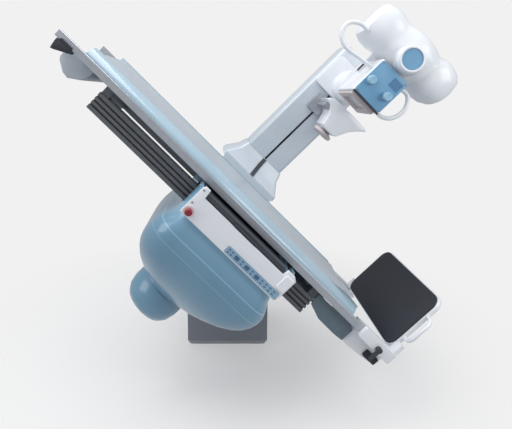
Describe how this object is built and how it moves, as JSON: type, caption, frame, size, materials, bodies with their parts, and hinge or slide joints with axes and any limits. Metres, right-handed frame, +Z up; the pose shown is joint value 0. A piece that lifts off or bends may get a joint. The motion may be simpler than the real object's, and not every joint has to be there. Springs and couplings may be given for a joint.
{
  "type": "radiography table",
  "caption": "Tilting radiography table with floor pedestal, imaging pod under the top, column-mounted tube head, compressor, rails, footrest and hand grip",
  "frame": {"origin": "floor under the centre of the pedestal, on the floor plate", "axes": "+Z up, +X to the foot end side in the picture, +Y from the viewer toward the pedestal"},
  "size_m": [1.9258, 1.392, 2.0783],
  "materials": {
    "floor_steel": "machined steel plate",
    "dark_paint": "dark grey satin paint",
    "bare_steel": "machined steel",
    "bronze": "cast bronze",
    "blue_shell": "glossy blue moulding",
    "white_shell": "glossy white moulding",
    "pale_paint": "pale grey-blue paint",
    "blue_panel": "matt blue film panel",
    "dark_plastic": "dark grey plastic",
    "black_rubber": "black rubber",
    "rail_metal": "anodised rail",
    "carbon_top": "grey laminate",
    "teal_paint": "grey-green paint",
    "red_cap": "red push cap",
    "display_glass": "dark display",
    "badge_blue": "plain blue disc",
    "window_grey": "warm grey plastic"
  },
  "bodies": {
    "pedestal": {"floor_plate": "floor_steel", "pedestal_cover": "dark_paint", "pedestal_frame": "bare_steel", "front_bearing": "dark_paint", "rear_bearing": "dark_paint", "tilt_motor": "bare_steel"},
    "table_frame": {"trunnion_shaft": "bare_steel", "worm_wheel": "bronze", "tilt_plate": "bare_steel", "front_beam": "dark_paint", "rear_beam": "dark_paint", "head_cross_member": "dark_paint", "foot_cross_member": "dark_paint", "travel_rack": "bare_steel", "foot_side_plate_front": "teal_paint", "foot_side_plate_rear": "teal_paint"},
    "imaging_carriage": {"carriage_frame": "pale_paint", "pod_shell": "blue_shell", "camera_cover": "blue_shell", "image_tube": "rail_metal", "front_panel": "white_shell", "key_strip": "blue_panel", "estop_collar": "white_shell", "column_base": "pale_paint", "column_shell": "pale_paint"},
    "cassette_tray": {"cassette_tray": "dark_plastic"},
    "stop_button": {"estop_button": "red_cap"},
    "key_one": {"key_1": "dark_plastic"},
    "key_two": {"key_2": "dark_plastic"},
    "key_three": {"key_3": "dark_plastic"},
    "tube_carrier": {"column_mast": "rail_metal", "head_arm": "white_shell"},
    "tube_head": {"head_yoke": "white_shell", "tube_cover": "white_shell", "badge_disc": "badge_blue", "collimator_body": "white_shell", "collimator_panel": "blue_panel", "collimator_display": "display_glass", "beam_window": "window_grey", "handle_left": "white_shell", "handle_right": "white_shell"},
    "knob_one": {"field_knob_1": "white_shell"},
    "knob_two": {"field_knob_2": "white_shell"},
    "compressor_lift": {"compressor_carriage": "rail_metal"},
    "compressor": {"compressor_arm": "white_shell", "compressor_pad": "window_grey"},
    "tabletop": {"front_fairing": "blue_shell", "rear_fairing": "blue_shell", "table_top": "carbon_top", "front_rail": "rail_metal", "rear_rail": "rail_metal", "head_end_bracket": "carbon_top", "foot_end_block": "white_shell", "end_bumper": "black_rubber"},
    "footrest": {"footrest_frame": "white_shell", "footrest_mat": "black_rubber", "footrest_handle": "white_shell"},
    "clamp_lever": {"clamp_lever": "dark_plastic"},
    "hand_grip": {"hand_grip": "black_rubber"}
  },
  "joints": [
    {"name": "table_tilt", "type": "hinge", "parent": "pedestal", "child": "table_frame", "pos_m": [0, -0.24, 0.855], "axis": [0, 1, 0], "range_deg": [-60, 45]},
    {"name": "tabletop_shift", "type": "slide", "parent": "table_frame", "child": "tabletop", "axis": [-0.7071, 0, 0.7071], "range_m": [-0.0866, 0.065]},
    {"name": "imaging_travel", "type": "slide", "parent": "table_frame", "child": "imaging_carriage", "axis": [0.7071, 0, -0.7071], "range_m": [-0.45, 0.12]},
    {"name": "tray_slide", "type": "slide", "parent": "imaging_carriage", "child": "cassette_tray", "axis": [0, -1, 0], "range_m": [0, 0.26]},
    {"name": "stop_push", "type": "slide", "parent": "imaging_carriage", "child": "stop_button", "axis": [0, 1, 0], "range_m": [0, 0.005], "stiffness_N_per_m": 2000},
    {"name": "key_one_push", "type": "slide", "parent": "imaging_carriage", "child": "key_one", "axis": [0, 1, 0], "range_m": [0, 0.0015], "stiffness_N_per_m": 1500},
    {"name": "key_two_push", "type": "slide", "parent": "imaging_carriage", "child": "key_two", "axis": [0, 1, 0], "range_m": [0, 0.0015], "stiffness_N_per_m": 1500},
    {"name": "key_three_push", "type": "slide", "parent": "imaging_carriage", "child": "key_three", "axis": [0, 1, 0], "range_m": [0, 0.0015], "stiffness_N_per_m": 1500},
    {"name": "tube_distance", "type": "slide", "parent": "imaging_carriage", "child": "tube_carrier", "axis": [0.7071, 0, 0.7071], "range_m": [0, 0.35]},
    {"name": "tube_turn", "type": "hinge", "parent": "tube_carrier", "child": "tube_head", "pos_m": [0.73822, -0.454, 1.67241], "axis": [0, 1, 0], "range_deg": [-90, 90]},
    {"name": "knob_one_turn", "type": "hinge", "parent": "tube_head", "child": "knob_one", "pos_m": [0.68256, -0.79, 1.70161], "axis": [0, 1, 0], "range_deg": [-140, 140]},
    {"name": "knob_two_turn", "type": "hinge", "parent": "tube_head", "child": "knob_two", "pos_m": [0.76032, -0.79, 1.62098], "axis": [0, 1, 0], "range_deg": [-140, 140]},
    {"name": "compressor_drop", "type": "slide", "parent": "imaging_carriage", "child": "compressor_lift", "axis": [-0.7071, 0, -0.7071], "range_m": [0, 0.35]},
    {"name": "compressor_reach", "type": "slide", "parent": "compressor_lift", "child": "compressor", "axis": [0, -1, 0], "range_m": [0, 0.14]},
    {"name": "footrest_slide", "type": "slide", "parent": "tabletop", "child": "footrest", "axis": [0.7071, 0, -0.7071], "range_m": [-0.17, 0]},
    {"name": "lever_turn", "type": "hinge", "parent": "footrest", "child": "clamp_lever", "pos_m": [0.69721, -1.022, 0.44912], "axis": [0, 1, 0], "range_deg": [-90, 0]},
    {"name": "grip_slide", "type": "slide", "parent": "tabletop", "child": "hand_grip", "axis": [0.7071, 0, -0.7071], "range_m": [0, 0.28]}
  ],
  "couplings": [
    {"joint": "tabletop_shift", "follows": "table_tilt", "m_per_rad": 0.082}
  ]
}
